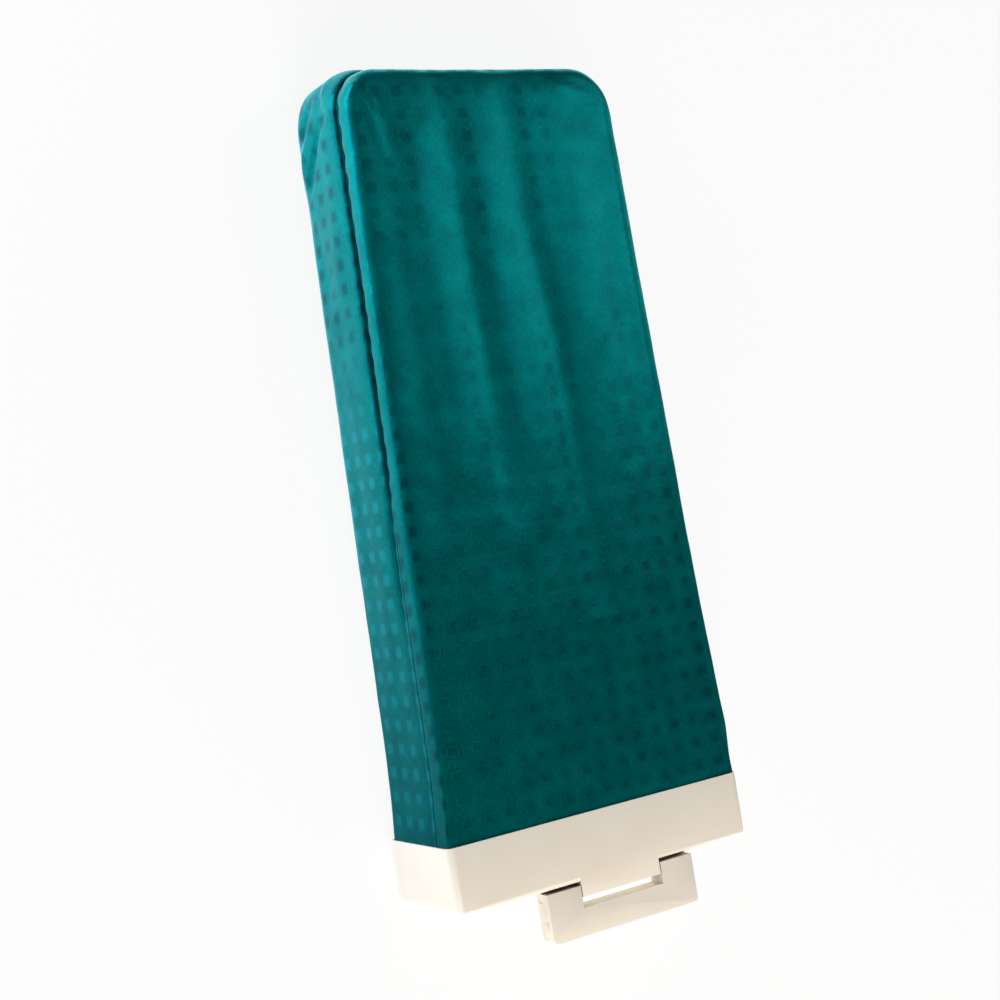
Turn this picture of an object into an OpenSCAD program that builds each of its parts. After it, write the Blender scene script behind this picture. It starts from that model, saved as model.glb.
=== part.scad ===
// Padded sleeve ironing board with a moulded end cap and a folding locating leaf.
// The board lies flat: +Z out of the ironing face, +Y towards the nose, X across.
// Every piece is drawn from the rim of the end cap, and seated() then moves it so that
// the origin lies on the rest plane, under the middle of the whole object.

/* [Board] */
// Length of the covered board, from the rim of the end cap to the nose
board_l = 324; // [300:1:360]
// Width over the cover at the wide end, before it spreads to meet the cap
base_w = 146; // [143:1:148]
// Width over the cover at the nose
nose_w = 131; // [122:1:140]
// Corner radius of the nose, seen from above
nose_r = 17; // [14:1:22]
// Length over which the cover spreads to meet the cap
spread_l = 36; // [20:1:60]

/* [End cap] */
// Width of the cap at its rim
cap_w = 151; // [150:1:156]
// Height of the cap, which is also the height of the board
cap_h = 53.5; // [52:0.5:62]
// Length of the cap at its corners
cap_l = 27; // [24:1:34]
// How far the middle of the cap's end bows out past its corners
cap_bow = 1.3; // [0.5:0.1:2.5]
// How much narrower the cap is at its end than at its rim, on each side
cap_draft = 1; // [0.5:0.1:2]
// Radius of the cap's four long edges at the rim
cap_edge_r = 4; // [3:0.5:6]
// Radius of the edges round the cap's end
cap_end_r = 2.5; // [2:0.5:3.5]
// Wall thickness of the cap
cap_wall = 2.4; // [2:0.1:3]
// Thickness of the lip that covers the edge of the cloth
cap_lip = 0.8; // [0.8:0.1:1]
// Depth of the rebate behind that lip
cap_rebate = 6; // [5:0.5:8]
// Thickness of the ribs inside the cap
cap_rib = 1.8; // [1.2:0.1:2.4]

/* [Cover and padding] */
// Thickness of the cover, cloth and lining together
cover_t = 1.2; // [0.8:0.1:1.6]
// Set-back of the cover's face from the face of the cap
cover_set = 1; // [0.9:0.1:1.5]
// Radius to which the cover rolls over the edge of the board
roll_r = 8; // [6.5:0.5:10]
// Rise of the ironing face in its middle
crown = 0.9; // [0.5:0.1:2]
// Radius to which the cover turns under the board
turn_r = 3; // [2.8:0.1:3.4]
// Distance from the ironing face down to the seam between top and band
seam_drop = 10.5; // [10:0.5:16]
// Thickness of the felt under the cover
felt_t = 2.5; // [2:0.1:3]
// Thickness of the foam on the ironing plate
foam_t = 7.5; // [6:0.5:9]
// Thickness of the foam along the sides
side_foam_t = 2.5; // [2:0.1:3]
// Width of the cover's margin turned under the board
hem_w = 26; // [22:1:30]
// Width of the elastic in the hem
elastic_w = 3.6; // [3:0.1:4.5]
// Thickness of the elastic
elastic_t = 1.2; // [0.8:0.1:1.4]

/* [Steel body] */
// Thickness of the pan's sheet
pan_t = 1; // [0.8:0.1:1.2]
// Depth of the pressed panel that the board rests on
panel_drop = 5; // [5:0.5:7]
// Width of the flange that carries the ironing plate
flange_w = 12; // [11:0.5:16]
// Thickness of the ironing plate
plate_t = 1.5; // [1.2:0.1:2]
// Radius of the steam holes in the ironing plate
steam_r = 4; // [2.5:0.5:5]
// Pitch of the steam holes
steam_pitch = 22; // [18:1:28]
// Width of the centre channel
channel_w = 30; // [24:1:40]
// Radius of the rivets' shanks
rivet_r = 2; // [1.5:0.1:2.4]
// Radius of the cap screws' shanks
screw_r = 2; // [1.5:0.1:2.4]

/* [Hinge] */
// Sideways place of the hinge, from the middle of the board
hinge_x = 5.2; // [-6:0.2:6]
// Width of the leaf
leaf_w = 75.6; // [68:0.2:84]
// Thickness of the leaf and of the tongue between its ears
leaf_t = 9; // [8.6:0.1:11]
// Length of the leaf from its ears' tops to its lower edge
leaf_l = 21; // [20:0.5:26]
// Width of the cap's tongue
tongue_w = 40.8; // [34:0.2:48]
// Clear height between the end of the tongue and the bar of the leaf
tongue_gap = 4.4; // [4.3:0.1:5]
// Gap between each ear and the end of the cap
ear_gap = 1.2; // [1:0.1:1.6]
// Side clearance between the tongue and each ear
side_gap = 0.5; // [0.4:0.1:0.8]
// Radius of the hinge pin
pin_r = 1.25; // [1:0.05:1.4]
// Distance from the pin's axis to the back face of the leaf
pin_back = 3.1; // [2.8:0.1:3.4]
// Gap between the leaf's back and the end of the cap when folded
fold_gap = 0.5; // [0.4:0.1:0.8]
// Clear width of the slot in the leaf's lower edge
slot_w = 4.6; // [4.3:0.1:5]
// Depth of that slot
slot_l = 9.5; // [8:0.5:10]

/* [Hidden] */

$fn = 48;
over = 1;                                   // how far a cut runs past a face
fit = 0.2;                                  // clearance between layers that only touch

// ---- Levels, from the rest plane up ----
face_z = cap_h - cover_set;                 // ironing face at the rim
felt_z = face_z - cover_t - fit;            // top of the felt
foam_z = felt_z - felt_t;                   // top of the foam
plate_z = foam_z - foam_t;                  // top of the ironing plate
pan_z = plate_z - plate_t;                  // top of the pan's flange
floor_z = panel_drop + pan_t;               // inside floor of the pan
seam_z = face_z - seam_drop;                // seam between cover top and band

// ---- Insets from the outline of the cover ----
felt_in = cover_t + fit;
side_foam_in = felt_in + felt_t + fit / 2;
pan_in = side_foam_in + side_foam_t + fit / 2;
flange_in = pan_in + pan_t + flange_w;
panel_in = hem_w + 4;
rivet_in = pan_in + pan_t + flange_w / 2;
casing_w = elastic_w + 2.4;                 // width of the elastic's casing
casing_h = elastic_t + 2.2;                 // height of that casing

// ---- Ends of the layers inside the cap ----
tuck_y = -(cap_rebate - fit * 2);           // end of the cloth, felt and foam
pan_y = -4;                                 // end of the steel body
panel_y = 12;                               // start of the pressed panel
bulk_t = 1.5;                               // thickness of the bulkhead
bulk_foot = 14;                             // depth of its foot on the pan's floor
bulk_side = 6;                              // set-back of that foot from its sides
brace_foot = 10;                            // depth of a brace's bent top edge
brace_hole_r = 9;

// ---- Cap and hinge, as distances from the rim of the cap ----
cap_end = cap_l + cap_bow;                  // middle of the cap's end
ear_y = -(cap_end + ear_gap);
leaf_y = ear_y - leaf_l;                    // lower edge of the leaf
mid_y = (board_l + leaf_y) / 2;             // middle of the whole object
leaf_z = cap_h - leaf_t;                    // back face of the leaf
pin_y = -(cap_end + fold_gap + pin_back);
pin_z = leaf_z + pin_back;
tongue_end = pin_y - 2 * pin_r;             // end of the tongue
notch_y = tongue_end - tongue_gap;          // top of the leaf's bar
notch_w = tongue_w + 2 * side_gap;
leaf_x = hinge_x - leaf_w / 2;
leaf_corner_r = 2;                          // lower corners of the leaf
pin_fit = 0.05;                             // radial running clearance in the tongue
press_fit = 0.01;                           // radial clearance in the ears
plug_r = pin_r + 0.5;
plug_l = 1.6;

// ---- Fasteners ----
boss_r = 5;
crown_run = 44;                             // from the edge to the full crown
rib_pitch = 36;                             // of the ribs in the cap
channel_nose = 20;                          // from the panel's end to the channel's
vent_r = 3;
vent_l = 24;
vent_count = 6;                             // vent slots in each row
vent_x = channel_w / 2 + 14;                // from the middle to each row
vent_end = 50;                              // from the rim to the first slot
vent_nose = 70;                             // from the nose to the last slot
vent_pitch = (board_l - vent_end - vent_nose) / (vent_count - 1);
screw_head_r = 2 * screw_r - 0.2;
screw_head_l = 3;
screw_seat_y = -14;                         // where the screw heads bear in the cap
screw_tip_y = 8;
nut_r = screw_r + 1;
nut_flange_r = nut_r + 1.4;
screw_zs = [floor_z + nut_flange_r + 4, pan_z - pan_t - nut_flange_r - 2];
screw_spots = [for (x = [-1, 1], z = screw_zs) [x * (cap_w / 2 - 18), z]];
rivet_rim = 14;                             // from the rim to the first rivets
rivet_nose = 60;                            // from the nose to the last rivets
rivet_pitch = (board_l - rivet_rim - rivet_nose) / 4;
rivet_ys = [for (i = [0:4]) rivet_rim + i * rivet_pitch];
rivet_spots = concat(
    [for (y = rivet_ys, s = [-1, 1]) [s * (half_w(y) - rivet_in), y]],
    [for (s = [-1, 1]) [s * nose_w / 5, board_l - rivet_in]]
);

module seated()
    translate([0, -mid_y, 0])
        children();

// Half the width over the cover at a distance y from the rim
function half_w(y) =
    let (at = max(y, 0), rest = max(1 - at / spread_l, 0))
    (base_w - (base_w - nose_w) * at / board_l) / 2
    + (cap_w / 2 - cover_set - base_w / 2) * rest * rest;

// Right half of the outline, set in by d and starting at y0, out to the nose
function right_side(d, y0) =
    let (
        r = max(nose_r - d, 3),
        cy = board_l - d - r,
        cx = half_w(cy) - d - r,
        first = max(y0, 0)
    )
    concat(
        [[half_w(y0) - d, y0]],
        [for (i = [1:5]) let (y = first + (spread_l + 10 - first) * i / 5) [half_w(y) - d, y]],
        [for (a = [0:10:90]) [cx + r * cos(a), cy + r * sin(a)]]
    );

// Whole outline as one list that runs up the right side and down the left
function outline_points(d, y0) =
    let (right = right_side(d, y0), n = len(right))
    concat(right, [for (i = [n - 1:-1:0]) [-right[i].x, right[i].y]]);

module outline(d = 0, y0 = tuck_y)
    polygon(outline_points(d, y0));

// A wall that follows the outline from inset d to inset d + t, open at the wide end
module outline_wall(d, t, z0, z1, y0 = tuck_y)
    translate([0, 0, z0])
        linear_extrude(z1 - z0)
            difference() {
                outline(d, y0);
                outline(d + t, y0 - over);
            }

// A wall whose section is a list of [inset, level], run round the outline: the list goes
// up the outside and down the inside
module section_wall(section, y0) {
    rows = [for (s = section) [for (p = outline_points(s[0], y0)) [p.x, p.y, s[1]]]];
    n = len(rows[0]);
    m = len(rows);
    sides = [
        for (k = [0:m - 1], i = [0:n - 2])
            let (a = k * n + i, b = (k + 1) % m * n + i)
            each [[a, b, b + 1], [a, b + 1, a + 1]]
    ];
    ends = [[for (k = [m - 1:-1:0]) k * n], [for (k = [0:m - 1]) k * n + n - 1]];
    polyhedron([for (row = rows) each row], concat(sides, ends), convexity = 4);
}

// One level of a padded form: the crown nearly fades out at the cap
function level(d, z, rise, y0) =
    [for (p = outline_points(d, y0)) [p.x, p.y, z + rise * (0.1 + 0.9 * min(max(p.y, 0) / 80, 1))]];

// A slab from z0 to z1 whose upper edge rolls over and whose top is crowned
module padded_form(d, z0, z1, y0) {
    r = roll_r - d;
    rolled = [for (a = [0:15:90]) [d + r * (1 - cos(a)), z1 - r + r * sin(a), 0]];
    crowned = [[d + crown_run / 2, z1, crown * 0.7], [d + crown_run, z1, crown]];
    sections = concat([[d, z0, 0]], rolled, crowned);
    rows = [for (s = sections) level(s[0], s[1], s[2], y0)];
    n = len(rows[0]);
    last = len(rows) - 1;
    sides = [
        for (k = [0:last - 1], i = [0:n - 2])
            each [
                [k * n + i, (k + 1) * n + i, (k + 1) * n + i + 1],
                [k * n + i, (k + 1) * n + i + 1, k * n + i + 1]
            ]
    ];
    top = [
        for (i = [0:n / 2 - 2])
            each [
                [last * n + i, last * n + n - 1 - i, last * n + n - 2 - i],
                [last * n + i, last * n + n - 2 - i, last * n + i + 1]
            ]
    ];
    bottom = [[for (i = [0:n - 1]) i]];
    end = [concat(
        [for (k = [last:-1:0]) k * n],
        [for (k = [0:last]) k * n + n - 1]
    )];
    polyhedron([for (row = rows) each row], concat(sides, top, bottom, end), convexity = 4);
}

module rounded_rect(w, h, r)
    polygon([
        for (c = [[1, 1, 0], [-1, 1, 90], [-1, -1, 180], [1, -1, 270]], a = [0:7.5:90])
            [c[0] * (w / 2 - r) + r * cos(a + c[2]), c[1] * (h / 2 - r) + r * sin(a + c[2])]
    ]);

// A prism of the cap's section, set in by d, from y back by t
module cap_section(d, y, t)
    translate([0, y, cap_h / 2])
        rotate([90, 0, 0])
            linear_extrude(t)
                rounded_rect(cap_w - 2 * d, cap_h - 2 * d, cap_edge_r - min(d, 3));

// The cap seen from the front, set in by d: drafted sides, a bowed end, round corners
module cap_plan(d) {
    r = max(cap_end_r - d, 0.5);
    reach = cap_w / 2 - cap_draft - d - r;
    right = concat(
        [[cap_w / 2 - d, over], [cap_w / 2 - d, 0]],
        [for (a = [0:-10:-80]) [reach + r * cos(a), r - cap_l + d + r * sin(a)]],
        [for (i = [6:-1:1]) let (s = i / 7) [reach * s, d - cap_l - cap_bow * (1 - s * s)]]
    );
    n = len(right);
    polygon(concat(right, [for (i = [n - 1:-1:0]) [-right[i].x, right[i].y]]));
}

// The cap seen from its side, set in by d, with its end edges rounded
module cap_side(d) {
    r = max(cap_end_r - d, 0.5);
    end_y = d - cap_l - cap_bow;
    polygon(concat(
        [[over, d], [over, cap_h - d]],
        [for (a = [90:10:180]) [end_y + r + r * cos(a), cap_h - d - r + r * sin(a)]],
        [for (a = [180:10:270]) [end_y + r + r * cos(a), d + r + r * sin(a)]]
    ));
}

// A profile drawn in the Y-Z plane, drawn out along X from x0 by w
module along_x(x0, w)
    translate([x0, 0, 0])
        rotate([90, 0, 90])
            linear_extrude(w)
                children();

// ---- End cap: a moulded shell with a hinge tongue, screw tubes and ribs ----
module cap_solid(d, y0)
    intersection() {
        cap_section(d, y0, cap_end + 2 * over);
        linear_extrude(cap_h)
            cap_plan(d);
        along_x(-cap_w / 2, cap_w)
            cap_side(d);
    }

module cap_inside() {
    cap_section(cap_lip, over, cap_rebate + over);
    cap_solid(cap_wall, over);
}

module cap_ribs() {
    depth = cap_end - cap_rebate - 2;
    intersection() {
        translate([0, -cap_end / 2, cap_h / 2])
            cube([cap_w - 2 * cap_wall, cap_end - cap_wall, cap_h - 2 * cap_wall + 1], center = true);
        for (x = [-rib_pitch, 0, rib_pitch])
            translate([hinge_x + x - cap_rib / 2, -cap_end + 1, 1])
                cube([cap_rib, depth, cap_h - 2]);
    }
    translate([1 + cap_draft - cap_w / 2, -cap_end + 2.5, cap_h / 2 - cap_rib / 2])
        cube([cap_w - 2 - 2 * cap_draft, depth / 2, cap_rib]);
}

module tongue_profile()
    polygon(concat(
        [[-cap_l + cap_wall, cap_h], [-cap_l + cap_wall, leaf_z]],
        [for (a = [0:10:90]) [pin_y - (pin_y - tongue_end) * sin(a), pin_z - pin_back * cos(a)]],
        [[tongue_end, cap_h]]
    ));

module end_cap()
    color("antiquewhite")
        seated()
        difference() {
            union() {
                difference() {
                    cap_solid(0, 0);
                    cap_inside();
                }
                cap_ribs();
                along_x(hinge_x - tongue_w / 2, tongue_w)
                    tongue_profile();
                for (p = screw_spots)
                    translate([p[0], pan_y, p[1]])
                        rotate([90, 0, 0])
                            cylinder(r = boss_r, h = cap_l + pan_y - 1);
            }
            for (p = screw_spots) {
                translate([p[0], over, p[1]])
                    rotate([90, 0, 0])
                        cylinder(r = screw_r + fit, h = cap_l);
                translate([p[0], screw_seat_y, p[1]])
                    rotate([90, 0, 0])
                        cylinder(r = screw_head_r + fit, h = cap_l);
            }
            translate([hinge_x - tongue_w, pin_y, pin_z])
                rotate([0, 90, 0])
                    cylinder(r = pin_r + pin_fit, h = 2 * tongue_w);
        }

// Pan-head screws in the cap's tubes, with a cross recess left to the finish
module cap_screws()
    color("silver")
        seated()
        for (p = screw_spots)
            translate([p[0], screw_seat_y, p[1]])
                rotate([-90, 0, 0]) {
                    cylinder(r = screw_r, h = screw_tip_y - screw_seat_y);
                    translate([0, 0, -screw_head_l])
                        cylinder(r = screw_head_r, h = screw_head_l);
                }

// Flanged rivet nuts that take the cap screws
module rivet_nuts()
    color("goldenrod")
        seated()
        for (p = screw_spots)
            translate([p[0], pan_y + bulk_t, p[1]])
                rotate([-90, 0, 0])
                    difference() {
                        union() {
                            cylinder(r = nut_flange_r, h = 1);
                            translate([0, 0, -bulk_t])
                                cylinder(r = nut_r, h = screw_tip_y - pan_y - 2);
                        }
                        translate([0, 0, -bulk_t - over])
                            cylinder(r = screw_r + pin_fit, h = screw_tip_y - pan_y + over);
                    }

// Sheet-steel bulkhead that closes the body and carries the cap
module base_bulkhead() {
    w = 2 * (half_w(0) - pan_in - pan_t - fit);
    h = pan_z - pan_t - fit - floor_z;
    color("gainsboro")
        seated()
        difference() {
            union() {
                translate([-w / 2, pan_y, floor_z])
                    cube([w, bulk_t, h]);
                translate([-w / 2 + bulk_side, pan_y, floor_z])
                    cube([w - 2 * bulk_side, bulk_foot, bulk_t]);
            }
            for (p = screw_spots)
                translate([p[0], pan_y - over, p[1]])
                    rotate([-90, 0, 0])
                        cylinder(r = nut_r + pin_fit, h = bulk_t + 2 * over);
        }
}

// ---- Steel body: a pressed pan, the ironing plate and what stiffens them ----
module bottom_pan()
    color("gainsboro")
        seated()
        difference() {
            union() {
                outline_wall(pan_in, pan_t, panel_drop, pan_z, pan_y);
                translate([0, 0, pan_z - pan_t])
                    linear_extrude(pan_t)
                        difference() {
                            outline(pan_in, pan_y);
                            outline(flange_in, pan_y - over);
                        }
                translate([0, 0, panel_drop])
                    linear_extrude(pan_t)
                        difference() {
                            outline(pan_in, pan_y);
                            outline(panel_in, panel_y);
                        }
                linear_extrude(panel_drop + pan_t)
                    difference() {
                        outline(panel_in, panel_y);
                        outline(panel_in + pan_t, panel_y + pan_t);
                    }
                linear_extrude(pan_t)
                    outline(panel_in, panel_y);
            }
            for (p = rivet_spots)
                translate([p[0], p[1], pan_z - 2 * pan_t])
                    cylinder(r = rivet_r + pin_fit, h = 3 * pan_t);
            vent_holes();
        }

// Two rows of vent slots through the pressed panel
module vent_holes()
    for (i = [0:vent_count - 1], s = [-1, 1])
        translate([s * vent_x, vent_end + i * vent_pitch, -over])
            linear_extrude(pan_t + 2 * over)
                polygon([
                    for (e = [1, -1], a = [-90:15:90])
                        e * [vent_r * sin(a), vent_l / 2 - vent_r + vent_r * cos(a)]
                ]);

module ironing_plate() {
    rows = floor((board_l - 60) / steam_pitch);
    columns = floor((nose_w / 2 - flange_in - steam_r) / steam_pitch);
    color("silver")
        seated()
        difference() {
            translate([0, 0, pan_z])
                linear_extrude(plate_t)
                    outline(pan_in, pan_y);
            for (i = [0:rows], j = [-columns:columns])
                translate([j * steam_pitch, 26 + i * steam_pitch, pan_z - over])
                    cylinder(r = steam_r, h = plate_t + 2 * over);
            for (p = rivet_spots) {
                translate([p[0], p[1], pan_z - over])
                    cylinder(r = rivet_r + pin_fit, h = plate_t + 2 * over);
                translate([p[0], p[1], plate_z - plate_t * 0.8])
                    cylinder(r1 = rivet_r + pin_fit, r2 = 2 * rivet_r + pin_fit, h = plate_t * 0.8);
            }
        }
}

// Countersunk rivets that hold the plate to the pan's flange
module plate_rivets()
    color("darkgray")
        seated()
        for (p = rivet_spots)
            translate([p[0], p[1], 0]) {
                translate([0, 0, plate_z - plate_t * 0.8])
                    cylinder(r1 = rivet_r, r2 = 2 * rivet_r, h = plate_t * 0.8);
                translate([0, 0, pan_z - 2 * pan_t])
                    cylinder(r = rivet_r, h = plate_t * 0.3 + 2 * pan_t);
                translate([0, 0, pan_z - pan_t - 1.4])
                    cylinder(r = rivet_r + 1.4, h = 1.4);
            }

// Hat-section channel down the middle, from the pressed panel up to the plate
module centre_channel() {
    h = pan_z - pan_t;
    foot = 9;
    w = channel_w / 2;
    color("darkgray")
        seated()
        translate([0, panel_y + 8, 0])
            rotate([90, 0, 180])
                linear_extrude(board_l - panel_y - panel_in - channel_nose)
                    translate([0, pan_t])
                        polygon([
                            [-w - foot, 0], [-w + pan_t, 0], [-w + pan_t, h - pan_t],
                            [w - pan_t, h - pan_t], [w - pan_t, 0], [w + foot, 0],
                            [w + foot, pan_t], [w, pan_t], [w, h],
                            [-w, h], [-w, pan_t], [-w - foot, pan_t]
                        ]);
}

// A pair of cross braces at y, from the channel out to the pan's walls
module brace_pair(y) {
    x0 = channel_w / 2 + fit;
    x1 = half_w(y) - pan_in - pan_t - fit;
    foot_z = floor_z + fit / 2;
    for (s = [0, 1])
        mirror([s, 0, 0])
            difference() {
                union() {
                    translate([x0, y, foot_z])
                        cube([x1 - x0 - 1, pan_t, pan_z - pan_t - fit - foot_z]);
                    translate([x0, y, pan_z - 2 * pan_t - fit])
                        cube([x1 - x0 - 1, brace_foot, pan_t]);
                }
                translate([(x0 + x1) / 2, y - over, (floor_z + pan_z) / 2])
                    rotate([-90, 0, 0])
                        cylinder(r = brace_hole_r, h = pan_t + 2 * over);
            }
}

module middle_braces()
    color("darkgray")
        seated()
        brace_pair(rivet_ys[1] + rivet_pitch / 2);

module nose_braces()
    color("darkgray")
        seated()
        brace_pair(rivet_ys[3] + rivet_pitch / 2);

// ---- Padding: foam on the plate and along the sides, felt over both ----
module foam_pad()
    color("khaki")
        seated()
        padded_form(side_foam_in, plate_z, foam_z, tuck_y);

module side_foam()
    color("khaki")
        seated()
        outline_wall(side_foam_in, side_foam_t, cover_set + cover_t + fit, plate_z, pan_y);

module felt_wrap()
    color("lightgray")
        seated()
        difference() {
            padded_form(felt_in, cover_set + turn_r + fit, felt_z, tuck_y);
            padded_form(felt_in + felt_t, cover_set, foam_z, tuck_y - over);
        }

// ---- Cover: a top panel sewn to a band, with a hem drawn in under the board ----
module cover_top()
    color("teal")
        seated()
        difference() {
            padded_form(0, seam_z, face_z, tuck_y);
            padded_form(cover_t, seam_z - over, face_z - cover_t, tuck_y - over);
        }

// Section of the band: down from the seam, then turned under the board
function band_section() =
    let (z = cover_set + turn_r, inner_r = turn_r - cover_t)
    concat(
        [for (a = [90:-15:0]) [turn_r - turn_r * cos(a), z - turn_r * sin(a)]],
        [[0, seam_z], [cover_t, seam_z]],
        [for (a = [0:15:90]) [turn_r - inner_r * cos(a), z - inner_r * sin(a)]]
    );

module cover_band()
    color("teal")
        seated()
        section_wall(band_section(), tuck_y);

module cover_hem()
    color("teal")
        seated()
        difference() {
            union() {
                outline_wall(turn_r, hem_w - turn_r, cover_set, cover_set + 1);
                outline_wall(hem_w - casing_w, casing_w, cover_set, cover_set + casing_h);
            }
            outline_wall(hem_w - casing_w + 1, casing_w - 2, cover_set + 1,
                cover_set + casing_h - 1, tuck_y - over);
        }

module hem_elastic()
    color("white")
        seated()
        outline_wall(hem_w - casing_w + 1 + fit, elastic_w, cover_set + 1,
            cover_set + 1 + elastic_t);

// ---- Hinge: a U-shaped leaf whose ears straddle the cap's tongue ----
// Section of the leaf: its back corner is round about the pin, its front is square
module leaf_profile() {
    lip = (leaf_t - slot_w) / 2;
    mouth = 0.6;
    difference() {
        polygon(concat(
            [[leaf_y, cap_h], [leaf_y, leaf_z]],
            [for (a = [0:10:90]) [pin_y + pin_back * sin(a), pin_z - pin_back * cos(a)]],
            [[pin_y + pin_back, pin_z + fit], [ear_y, pin_z + 1], [ear_y, cap_h]]
        ));
        polygon([
            [leaf_y - over, leaf_z + lip - mouth], [leaf_y - over, cap_h - lip + mouth],
            [leaf_y, cap_h - lip + mouth], [leaf_y + mouth, cap_h - lip],
            [leaf_y + slot_l, cap_h - lip], [leaf_y + slot_l, leaf_z + lip],
            [leaf_y + mouth, leaf_z + lip], [leaf_y, leaf_z + lip - mouth]
        ]);
    }
}

// The leaf seen from the front: lower corners rounded, a notch for the tongue
module leaf_front()
    difference() {
        polygon(concat(
            [[leaf_x + leaf_w, -cap_l], [leaf_x, -cap_l]],
            [for (a = [180:15:270])
                [leaf_x + leaf_corner_r + leaf_corner_r * cos(a),
                 leaf_y + leaf_corner_r + leaf_corner_r * sin(a)]],
            [for (a = [270:15:360])
                [leaf_x + leaf_w - leaf_corner_r + leaf_corner_r * cos(a),
                 leaf_y + leaf_corner_r + leaf_corner_r * sin(a)]]
        ));
        translate([hinge_x - notch_w / 2, notch_y])
            square([notch_w, -cap_l + over - notch_y]);
    }

module hinge_leaf()
    color("antiquewhite")
        seated()
        difference() {
            intersection() {
                along_x(leaf_x, leaf_w)
                    leaf_profile();
                translate([0, 0, leaf_z - over])
                    linear_extrude(leaf_t + 2 * over)
                        leaf_front();
            }
            translate([leaf_x - over, pin_y, pin_z])
                rotate([0, 90, 0])
                    cylinder(r = pin_r + press_fit, h = leaf_w + 2 * over);
            for (x = [leaf_x - over, leaf_x + leaf_w - plug_l])
                translate([x, pin_y, pin_z])
                    rotate([0, 90, 0])
                        cylinder(r = plug_r + press_fit, h = plug_l + over);
        }

module hinge_pin()
    color("silver")
        seated()
        translate([leaf_x + plug_l + fit, pin_y, pin_z])
            rotate([0, 90, 0])
                cylinder(r = pin_r, h = leaf_w - 2 * (plug_l + fit));

// Moulded plugs that close the pin's holes
module pin_plugs()
    color("antiquewhite")
        seated()
        for (x = [leaf_x + fit, leaf_x + leaf_w - plug_l])
            translate([x, pin_y, pin_z])
                rotate([0, 90, 0])
                    cylinder(r = plug_r, h = plug_l - fit);

// Washers on the pin between the tongue and the ears, which hold the leaf by friction
module friction_washers()
    color("silver")
        seated()
        for (s = [-1, 1])
            translate([hinge_x + s * (notch_w / 2 - side_gap / 2) - side_gap * 0.3, pin_y, pin_z])
                rotate([0, 90, 0])
                    difference() {
                        cylinder(r = pin_r + 0.9, h = side_gap * 0.6);
                        translate([0, 0, -over])
                            cylinder(r = pin_r + press_fit, h = side_gap + 2 * over);
                    }

end_cap();
cap_screws();
rivet_nuts();
base_bulkhead();
bottom_pan();
ironing_plate();
plate_rivets();
centre_channel();
middle_braces();
nose_braces();
foam_pad();
side_foam();
felt_wrap();
cover_top();
cover_band();
cover_hem();
hem_elastic();
hinge_leaf();
hinge_pin();
pin_plugs();
friction_washers();
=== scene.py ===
"""Sleeve ironing board: a padded steel body in a satin cover, with an end cap and a folding leaf."""

import math

import bmesh
import bpy
import numpy as np
from mathutils import Matrix, Vector, noise


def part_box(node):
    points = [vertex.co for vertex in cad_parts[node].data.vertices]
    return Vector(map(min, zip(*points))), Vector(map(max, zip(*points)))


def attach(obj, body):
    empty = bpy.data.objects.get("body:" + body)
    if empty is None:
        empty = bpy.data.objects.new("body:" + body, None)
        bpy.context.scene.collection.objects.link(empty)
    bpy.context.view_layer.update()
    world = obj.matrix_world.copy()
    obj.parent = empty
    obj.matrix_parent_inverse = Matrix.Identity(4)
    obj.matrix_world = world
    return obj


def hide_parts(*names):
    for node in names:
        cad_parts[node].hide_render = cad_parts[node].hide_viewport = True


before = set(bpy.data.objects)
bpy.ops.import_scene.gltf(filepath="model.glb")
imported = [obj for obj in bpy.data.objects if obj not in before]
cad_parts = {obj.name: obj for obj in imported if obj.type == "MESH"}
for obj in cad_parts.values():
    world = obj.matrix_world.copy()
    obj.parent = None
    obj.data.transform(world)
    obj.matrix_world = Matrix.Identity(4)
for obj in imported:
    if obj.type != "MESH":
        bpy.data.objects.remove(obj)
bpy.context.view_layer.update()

MM = 0.001
rim_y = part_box("end_cap")[1].y  # the rim of the cap, from which the board is measured


# ---- Helpers ----------------------------------------------------------------
# Short forms for shader nodes, objects and meshes.
def linear(hex_colour):
    """A colour picked as sRGB hex, as the linear RGBA that the sockets take."""
    channels = [int(hex_colour[i : i + 2], 16) / 255 for i in (1, 3, 5)]
    return [c / 12.92 if c <= 0.04045 else ((c + 0.055) / 1.055) ** 2.4 for c in channels] + [1]


def add(material, kind, links=None, **settings):
    """Adds a node: settings are its own properties or, by index or name, its inputs' values."""
    tree = material.node_tree
    node = tree.nodes.new("ShaderNode" + kind)
    inputs = settings.pop("inputs", {})
    for name, value in settings.items():
        setattr(node, name, value)
    for name, value in inputs.items():
        node.inputs[name].default_value = value
    for name, socket in (links or {}).items():
        tree.links.new(socket, node.inputs[name])
    return node


def new_material(name, **shader):
    """A material with one Principled shader, and that shader."""
    material = bpy.data.materials.new(name)
    material.use_nodes = True
    principled = material.node_tree.nodes["Principled BSDF"]
    for socket, value in shader.items():
        principled.inputs[socket.replace("_", " ")].default_value = value
    return material, principled


def coloured(material, factor, dark, light, low=0.0, high=1.0):
    """A ramp between two hex colours over a factor from low to high."""
    ramp = add(material, "ValToRGB", {"Fac": factor})
    ramp.color_ramp.elements[0].position = low
    ramp.color_ramp.elements[1].position = high
    ramp.color_ramp.elements[0].color = linear(dark)
    ramp.color_ramp.elements[1].color = linear(light)
    return ramp.outputs["Color"]


def on(material, socket, value):
    """Links a node's output to a socket."""
    material.node_tree.links.new(value, socket)


def bumped(material, principled, height, distance_mm):
    """Fine relief, of a height times a distance."""
    fine = {"Strength": 1.0, "Distance": distance_mm * MM}
    bump = add(material, "Bump", {"Height": height}, inputs=fine)
    on(material, principled.inputs["Normal"], bump.outputs["Normal"])


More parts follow.
